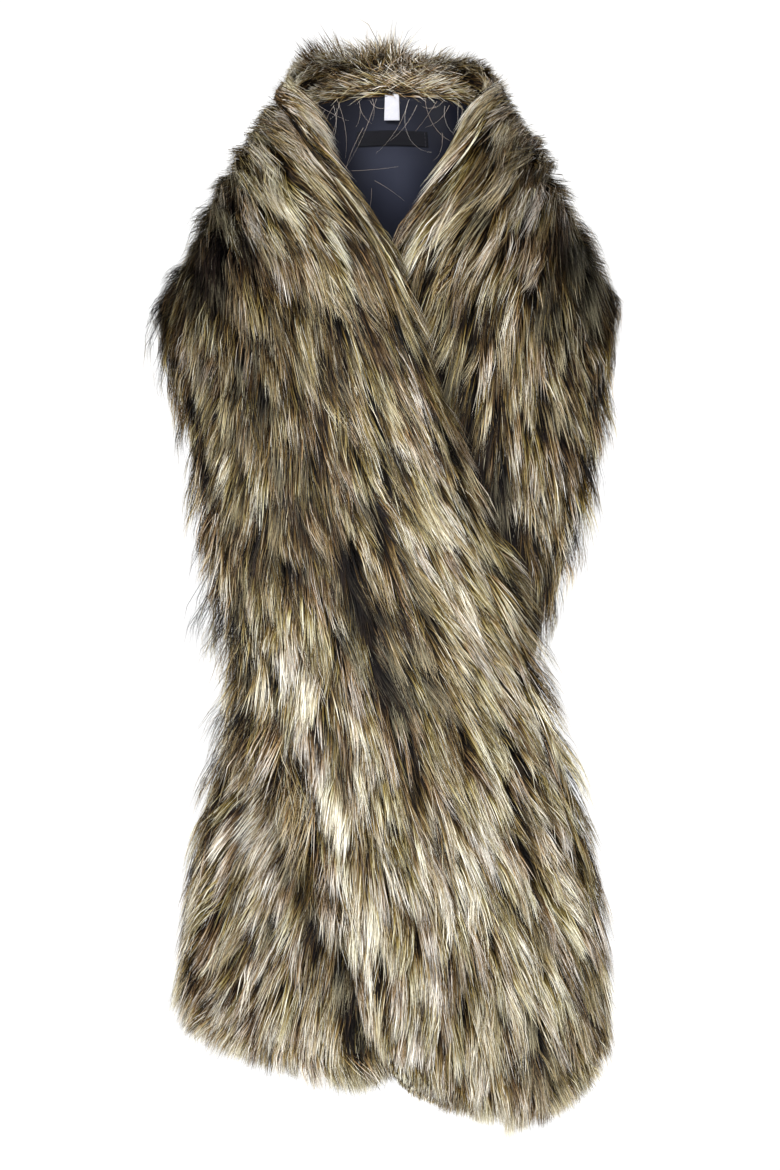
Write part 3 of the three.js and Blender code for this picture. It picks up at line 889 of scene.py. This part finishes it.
        # The patches are looked up a little way off, so that their edges break up into streaks.
        x, _, z = self.points[:, 3].T
        x = x + self.lock_normal(PATCH_OFF["x"])
        z = z + self.lock_normal(PATCH_OFF["z"][0]) + self.tuft_normal(PATCH_OFF["z"][1])
        tone = np.interp(z, *zip(*HEIGHT_TONES)) + patch_tone(patches_and_shadows, x, z)
        tone += self.lock_normal(TONE["lock"]) + self.tuft_normal(TONE["tuft"])
        tone += rng.normal(0, 1, total) * np.where(self.fine, TONE["fine"], TONE["wide"])
        # Dark fine strands are dark hairs that partly stand in as painted shade between the pale ones. Low
        # strands are underfur, darker partly in colour and partly as painted shade deep in the pile.
        dark = self.fine & (rng.random(total) < TONE["dark_share"])
        tone -= np.where(dark, TONE["dark"], 0) + np.where(self.low, TONE["low"], 0)
        tip = self.lock_normal(TIP["lock"]) + rng.normal(0, TIP["strand"], total)
        tip -= np.where(self.fine & (rng.random(total) < TIP["dark_share"]), 1.0, 0)
        hue = 0.5 + self.lock_normal(HUE["lock"]) + self.tuft_normal(HUE["tuft"])
        return np.stack([np.clip(tone, 0, 1), np.clip((tip + 1) / 2, 0, 1), np.clip(hue, 0, 1)], 1)


def stepped(values, steps):
    """Values from 0 to 1, moved to the middles of equal steps, and the steps' numbers."""
    step = np.clip(np.floor(values * steps), 0, steps - 1)
    return (step + 0.5) / steps, step


def make_pile(name, points, colours, material):
    """Strands as one joined mesh. Those of the same colour share a place in the map."""
    tone, tone_step = stepped(colours[:, 0], TONES)
    tip, tip_step = stepped(colours[:, 1], TIPS)
    hue, hue_step = stepped(colours[:, 2], HUES)
    total = len(points)
    faces = (np.arange(total)[:, None, None] * STRAND_POINTS + STRAND_FACES).reshape(-1, 3)
    piece = make_object(name, points.reshape(-1, 3), faces, material, "fur")
    tone, tip, khaki = (np.repeat(values, STRAND_POINTS) for values in (tone, tip * 2 - 1, hue))
    set_attributes(piece, tone=tone, tip=tip, khaki=khaki, along=np.tile(STRAND_ALONG, total))
    across = (hue_step * TONES + tone_step)[:, None] + STRAND_ACROSS
    up = tip_step[:, None] + 0.06 + 0.88 * STRAND_ALONG
    places = np.stack([across / (TONES * HUES), up / TIPS], -1).reshape(-1, 2)
    layer = piece.data.uv_layers.new(name="OFBake")
    layer.data.foreach_set("uv", places[faces.ravel()].astype(np.float32).ravel())
    return piece


def make_piles(node, points, colours, material):
    """The strands of one node's fur, as meshes of no more than MOST_STRANDS each."""
    parts = math.ceil(len(points) / MOST_STRANDS)
    for part in range(parts):
        some = slice(part, None, parts)
        pile = make_pile(f"{node}_pile_{part + 1}", points[some], colours[some], material)
        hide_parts(node)


# The stray hairs: how many, with how many points, how far from the centre back, how far aside, how long,
# half how wide, how far under the cloth, and how pale.
STRAY = {"many": 36, "points": 13, "from_back": (14, 84), "aside": (-86, -76), "loose": (-60, 0)}
STRAY_LONG = (14, 62)
STRAY_HALF_WIDTH = 0.075
STRAY_LIFT = -4.4
STRAY_TONES = (0.78, 1.0)


def make_stray_hairs(half, material):
    """Curved hairs that hang over the lining at the nape, a few of them loose in its middle."""
    rng = np.random.default_rng(31)
    many, joints = STRAY["many"], STRAY["points"]

    def each(low, high):
        return rng.uniform(low, high, many)[:, None]

    share = np.linspace(0, 1, joints)[None, :]
    length = each(*STRAY["from_back"]) * rng.choice((-1, 1), many)[:, None]
    aside = each(*STRAY["aside"])
    loose = rng.random(many)[:, None] < 0.2
    aside = np.where(loose, each(*STRAY["loose"]), aside)
    heading = np.radians(rng.normal(90, 32, many))[:, None]
    heading = np.where(loose, each(0, math.pi), heading)
    turn = rng.normal(0, 1.2, many)[:, None] * share**1.3
    long = each(*STRAY_LONG) / (joints - 1)
    step_length, step_aside = np.cos(heading + turn) * long, np.sin(heading + turn) * long
    length = length + np.cumsum(step_length, 1) - step_length[:, :1]
    aside = aside + np.cumsum(step_aside, 1) - step_aside[:, :1]
    lift = np.broadcast_to(STRAY_LIFT - 1.2 * np.sin(share * math.pi), length.shape)
    spine = half.point(length, aside, lift)
    tangent = unit(np.gradient(spine, axis=1))
    side = unit(np.cross(tangent, half.normal(length, aside))) * STRAY_HALF_WIDTH
    side = side * (1 - 0.7 * share[..., None])
    points = np.stack([spine - side, spine + side], 2).reshape(-1, 3)
    first = (np.arange(many)[:, None] * joints + np.arange(joints - 1)).ravel() * 2
    faces = np.stack([first, first + 1, first + 3, first + 2], 1)
    piece = make_object("stray_hairs", points, faces, material, "fur")
    tone = np.repeat(rng.uniform(*STRAY_TONES, many), joints * 2)
    none = np.zeros(len(points))
    set_attributes(piece, tone=tone, tip=none, khaki=none, along=none + 0.6)


# Cloth.


def cloth_grid(start, stop, edge, columns):
    """The lengths and the distances aside of a grid of points over one stretch."""
    rows = max(int((stop - start) / CLOTH_STEP), 3)
    return np.meshgrid(np.linspace(start, stop, rows), np.linspace(-edge, edge, columns), indexing="ij")


def make_backing(name, half, start, stop, material):
    """The fur's backing along one stretch."""
    length, aside = cloth_grid(start, stop, HALF_WIDTH, 33)
    narrow = hem_narrow(half, length, CLOTH_CORNER)
    upper = half.point(length, aside, BACKING_THICK, narrow)
    lower = half.point(length, aside, 0.0, narrow)
    piece = make_shell(name, upper, lower, material, "fur")
    return piece


def crease(length, aside, middle, lean, wide, long, deep):
    """A soft trough round a place on the cloth, at a lean in degrees from along it."""
    sine, cosine = math.sin(math.radians(lean)), math.cos(math.radians(lean))
    d_length, d_aside = length - middle[0], aside - middle[1]
    down = d_length * cosine + d_aside * sine
    over = -d_length * sine + d_aside * cosine
    return deep * bell(over, wide) * bell(down, long, 4)


# The lining's main creases: the length along the half, the distance aside, the lean from along the cloth, the
# half width, the half length and the depth.
NECK_CREASES = [
    (18, -8, 82, 9, 46, 1.6),
    (55, -22, 70, 8, 40, 1.2),
    (96, -2, 62, 11, 50, 1.8),
    (140, -12, 50, 10, 48, 1.5),
]

FRONT_CREASES = [
    (250, -10, 24, 11, 80, 2.0),
    (330, 28, -16, 13, 90, 1.6),
    (430, -30, 8, 12, 110, 1.8),
    (545, 18, -10, 14, 100, 1.4),
    (640, -22, 12, 12, 95, 1.8),
    (760, 20, -6, 14, 90, 1.5),
]

UNDER_CREASES = [
    (245, 6, 26, 12, 85, 1.9),
    (345, -30, 10, 12, 90, 1.5),
    (440, 22, -14, 13, 100, 1.7),
    (560, -12, 12, 12, 110, 1.6),
    (670, 24, -8, 13, 90, 1.4),
    (780, -20, 6, 12, 80, 1.6),
]


def lining_grids(half, start, stop, creases):
    """The lining's outer and inner sheets, creased towards the body and flat at the seams."""
    edge = HALF_WIDTH - LINING_INSET
    length, aside = cloth_grid(start, stop, edge, 41)
    sewn = np.clip((edge - np.abs(aside)) / 12, 0, 1) ** 0.7
    off_label = 1 - bell(length, 44, 4) * np.clip((-24 - aside) / 10, 0, 1)
    deep = sum(crease(np.abs(length), aside, row[:2], *row[2:]) for row in creases) * sewn * off_label
    ripple = 0.35 * np.sin(length / 5.2 + np.sin(aside / 23)) * np.exp(-((edge - np.abs(aside)) / 7))
    under = LINING_GAP + deep + np.maximum(ripple, 0)
    narrow = hem_narrow(half, length + LINING_INSET, CLOTH_CORNER)
    outer = half.point(length, aside, -under, narrow)
    inner = half.point(length, aside, -(under + LINING_THICK), narrow)
    return outer, inner


# The painted sheen on the lining at the nape, paler where light falls on the satin: the middle's height, half
# the width and height, and how far forward.
PAINTED_SHEEN = {"height": -28.0, "wide": 30.0, "tall": 46.0, "ahead": -60.0}


def make_lining(stretch, half, start, stop, creases, material):
    """The lining along one stretch, paler where light falls on the nape."""
    outer, inner = lining_grids(half, start, stop, creases)
    piece = make_shell(f"lining_{stretch}_satin", outer, inner, material, "satin")
    x, y, z = np.vstack([outer.reshape(-1, 3), inner.reshape(-1, 3)]).T
    # Painted sheen: paler towards the middle of the nape, on the back of the lining only.
    worn = np.exp(-((x / PAINTED_SHEEN["wide"]) ** 2) - ((z - PAINTED_SHEEN["height"]) / PAINTED_SHEEN["tall"]) ** 2)
    set_attributes(piece, worn=worn * (y > PAINTED_SHEEN["ahead"]))
    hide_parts("lining_neck" if stretch == "neck" else f"lining_{stretch}_end")


# The labels: their size, the height of the top edge, the thickness, how far the lower edge leans off the
# lining, and how many points they have across and down.
LABEL = {"wide": 62.0, "tall": 13.0, "top": 6.0, "thick": 0.7, "lean": 0.0, "columns": 61, "rows": 13}
CARE = {"wide": 13.0, "tall": 23.0, "top": 37.0, "thick": 0.5, "lean": 4.0, "columns": 17, "rows": 29}
UNDER_LABEL = LINING_GAP + LINING_THICK + LABEL_GAP
STITCH_COLUMNS = (2, 58)
STITCH_ROWS = (1, 12, 1.5)
STITCH_RADIUS = 0.22
STITCH_SIDES = 6


def place_at_height(half, height):
    """The distance aside at the centre back whose point has that height."""
    asides = np.linspace(-HALF_WIDTH, HALF_WIDTH, 3001)
    heights = half.point(np.zeros_like(asides), asides, np.zeros_like(asides))[:, 2]
    return np.interp(-height, -heights, asides)


def label_grids(half, wide, tall, top, thick, lean, columns, rows):
    """A label's outer and inner sheets at the centre back, and the shares across and down it."""
    from_aside, to_aside = place_at_height(half, top), place_at_height(half, top - tall)
    probe = np.linspace(0, wide, 400)
    sides = np.abs(half.point(probe, np.full_like(probe, to_aside), np.zeros_like(probe))[:, 0])
    reach = np.interp(wide / 2, sides, probe)
    lengths, asides = np.linspace(-reach, reach, columns), np.linspace(from_aside, to_aside, rows)
    length, aside = np.meshgrid(lengths, asides, indexing="ij")
    share = (aside - from_aside) / (to_aside - from_aside)
    away = UNDER_LABEL + lean * share**1.5
    return half.point(length, aside, -away), half.point(length, aside, -(away + thick)), length / reach, share


def make_tape(node, sheets, material, slot):
    """A label's tape, in place of the imported part, which is hidden."""
    label = make_shell(node + "_tape", *sheets, material, slot)
    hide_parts(node)


def make_neck_label(half, material, thread):
    """The blank woven label, its ends stitched down."""
    outer, inner, side, _ = label_grids(half, **LABEL)
    bulge = 0.35 * (1 - side**2)
    inner[..., 1] -= bulge
    make_tape("neck_label", (outer, inner), material, "label")
    stitches = []
    for column in STITCH_COLUMNS:
        for row in np.arange(*STITCH_ROWS):
            low, high = int(row), min(int(row) + 1, LABEL["rows"] - 1)
            stitches.append((inner[column, low], inner[column, high]))
    make_stitches("neck_label_stitches", stitches, thread)


def make_stitches(name, ends, material):
    """Short raised stitches between pairs of points, as one mesh of bars with pointed ends."""
    points, faces = [], []
    for start, stop in ends:
        axis = unit(np.subtract(stop, start))
        side = unit(np.cross(axis, (0.3, 1.0, 0.2)))
        other = np.cross(axis, side)
        base = len(points)
        points.append(start)
        for share in (0.25, 0.75):
            centre = start + (stop - start) * share
            for turn in range(STITCH_SIDES):
                spin = turn * math.tau / STITCH_SIDES
                points.append(centre + STITCH_RADIUS * (side * math.cos(spin) + other * math.sin(spin)))
        points.append(stop)
        for turn in range(STITCH_SIDES):
            after = (turn + 1) % STITCH_SIDES
            here, there = base + 1 + turn, base + 1 + after
            faces.append((base, there, here))
            faces.append((here, there, there + STITCH_SIDES))
            faces.append((here, there + STITCH_SIDES, here + STITCH_SIDES))
            faces.append((len(points) - 1, here + STITCH_SIDES, there + STITCH_SIDES))
    make_object(name, np.array(points), faces, material, "label")


def make_care_label(half, material):
    """The blank care label, which hangs from the top seam and curls a little off the lining."""
    outer, inner, side, share = label_grids(half, **CARE)
    wave = 0.5 * np.sin(side * 2.2 + 0.4) * share
    outer[..., 1] -= wave
    inner[..., 1] -= wave
    make_tape("care_label", (outer, inner), material, "care_label")


# The stage, in metres. Each light has its place, its size across and its power, and all face the object's
# middle.
FLOOR_HEIGHT = -0.95
FLOOR_RADIUS = 3.6
SURROUND_SEEN = 1.1
SURROUND_LIGHT = 0.09
OBJECT_MIDDLE = (0, -0.15, -0.35)
LIGHTS = {
    "key": ((-1.2, -2.4, 1.7), 1.1, 134),
    "fill": ((1.9, -2.2, 0.2), 1.4, 38),
    "front": ((0.15, -3.4, 0.2), 0.9, 30),
    "back": ((0.8, 2.6, 1.6), 1.6, 60),
}

# The camera is level, in front, and far enough off that depth barely changes the scale.
CAMERA_AWAY = 30.0
FRAME_TALL = 1170 * 0.85 * MM
FRAME_MIDDLE = (-0.0017, -0.16, -0.3825)
SENSOR = 36.0


def add_light(name, place, size, power):
    data = bpy.data.lights.new(name, "AREA")
    data.shape = "DISK"
    data.size = size
    data.energy = power
    light = bpy.data.objects.new(name, data)
    light.location = place
    light.rotation_euler = (Vector(OBJECT_MIDDLE) - Vector(place)).to_track_quat("-Z", "Y").to_euler()
    bpy.context.scene.collection.objects.link(light)


def set_surround():
    """A white surround that the camera sees bright and that lights the object only a little."""
    world = bpy.data.worlds.new("pale_surround")
    bpy.context.scene.world = world
    world.use_nodes = True
    tree = world.node_tree
    background = tree.nodes["Background"]
    background.inputs["Color"].default_value = (1, 1, 1, 1)
    path = tree.nodes.new("ShaderNodeLightPath")
    strength = tree.nodes.new("ShaderNodeMapRange")
    tree.links.new(path.outputs["Is Camera Ray"], strength.inputs["Value"])
    strength.inputs["To Min"].default_value = SURROUND_LIGHT
    strength.inputs["To Max"].default_value = SURROUND_SEEN
    tree.links.new(strength.outputs["Result"], background.inputs["Strength"])


def set_stage():
    """A plain pale floor under the hem, a pale surround and soft lights."""
    place = (0, 0, FLOOR_HEIGHT)
    bpy.ops.mesh.primitive_circle_add(vertices=96, radius=FLOOR_RADIUS, fill_type="NGON", location=place)
    floor = bpy.context.object
    floor.name = "floor"
    floor.data.materials.append(stage_material())
    set_surround()
    for name, light in LIGHTS.items():
        add_light(name, *light)
    bpy.context.scene.view_settings.view_transform = "Standard"
    bpy.context.scene.view_settings.look = "None"


def set_camera():
    data = bpy.data.cameras.new("front_camera")
    data.sensor_fit = "VERTICAL"
    data.sensor_height = SENSOR
    data.lens = SENSOR * CAMERA_AWAY / FRAME_TALL
    data.clip_end = 100
    camera = bpy.data.objects.new("front_camera", data)
    camera.location = (FRAME_MIDDLE[0], FRAME_MIDDLE[1] - CAMERA_AWAY, FRAME_MIDDLE[2])
    camera.rotation_euler = (math.pi / 2, 0, 0)
    bpy.context.scene.collection.objects.link(camera)
    bpy.context.scene.camera = camera


def make_half(half, nodes, grown, fur, backing):
    """One half's backing and pile, in its neck stretch and its end."""
    bounds = (0, half.shoulder, half.hem)
    stretches = zip(nodes, bounds, bounds[1:], (grown.at_neck, ~grown.at_neck))
    for node, start, stop, some in stretches:
        base = make_backing(node + "_backing", half, start + SEAM, stop - SEAM, backing)
        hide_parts(node)
        make_piles(node, grown.points[some], grown.colours[some], fur)


def dress():
    """Every piece of the object."""
    right, left = Half(-1, FRONT_END), Half(1, UNDER_END)
    fur, backing, satin = fur_material(), backing_material(), satin_material()
    counts = (NECK_STRANDS, FRONT_STRANDS)
    grown = Fur(right, counts, FRONT_CORNERS, FRONT_OPEN, FRONT_PATCHES, seed=11)
    make_half(right, ("fur_neck_right", "fur_front_end"), grown, fur, backing)
    counts = (NECK_STRANDS, UNDER_STRANDS)
    grown = Fur(left, counts, UNDER_CORNERS, UNDER_OPEN, UNDER_PATCHES_AND_SHADOWS, seed=12)
    make_half(left, ("fur_neck_left", "fur_under_end"), grown, fur, backing)
    make_stray_hairs(left, fur)
    for stretch, half, creases in (("front", right, FRONT_CREASES), ("under", left, UNDER_CREASES)):
        make_lining(stretch, half, half.shoulder + SEAM, half.hem - LINING_INSET, creases, satin)
    make_lining("neck", left, SEAM - left.shoulder, left.shoulder - SEAM, NECK_CREASES, satin)
    weave = woven_material("label_weave", (8, 9, 15), (20, 21, 31), 1500, 0.0)
    make_neck_label(left, weave, thread_material())
    make_care_label(left, woven_material("care_tape", (196, 196, 206), (238, 238, 242), 1800, 0.2))


dress()
set_stage()
set_camera()
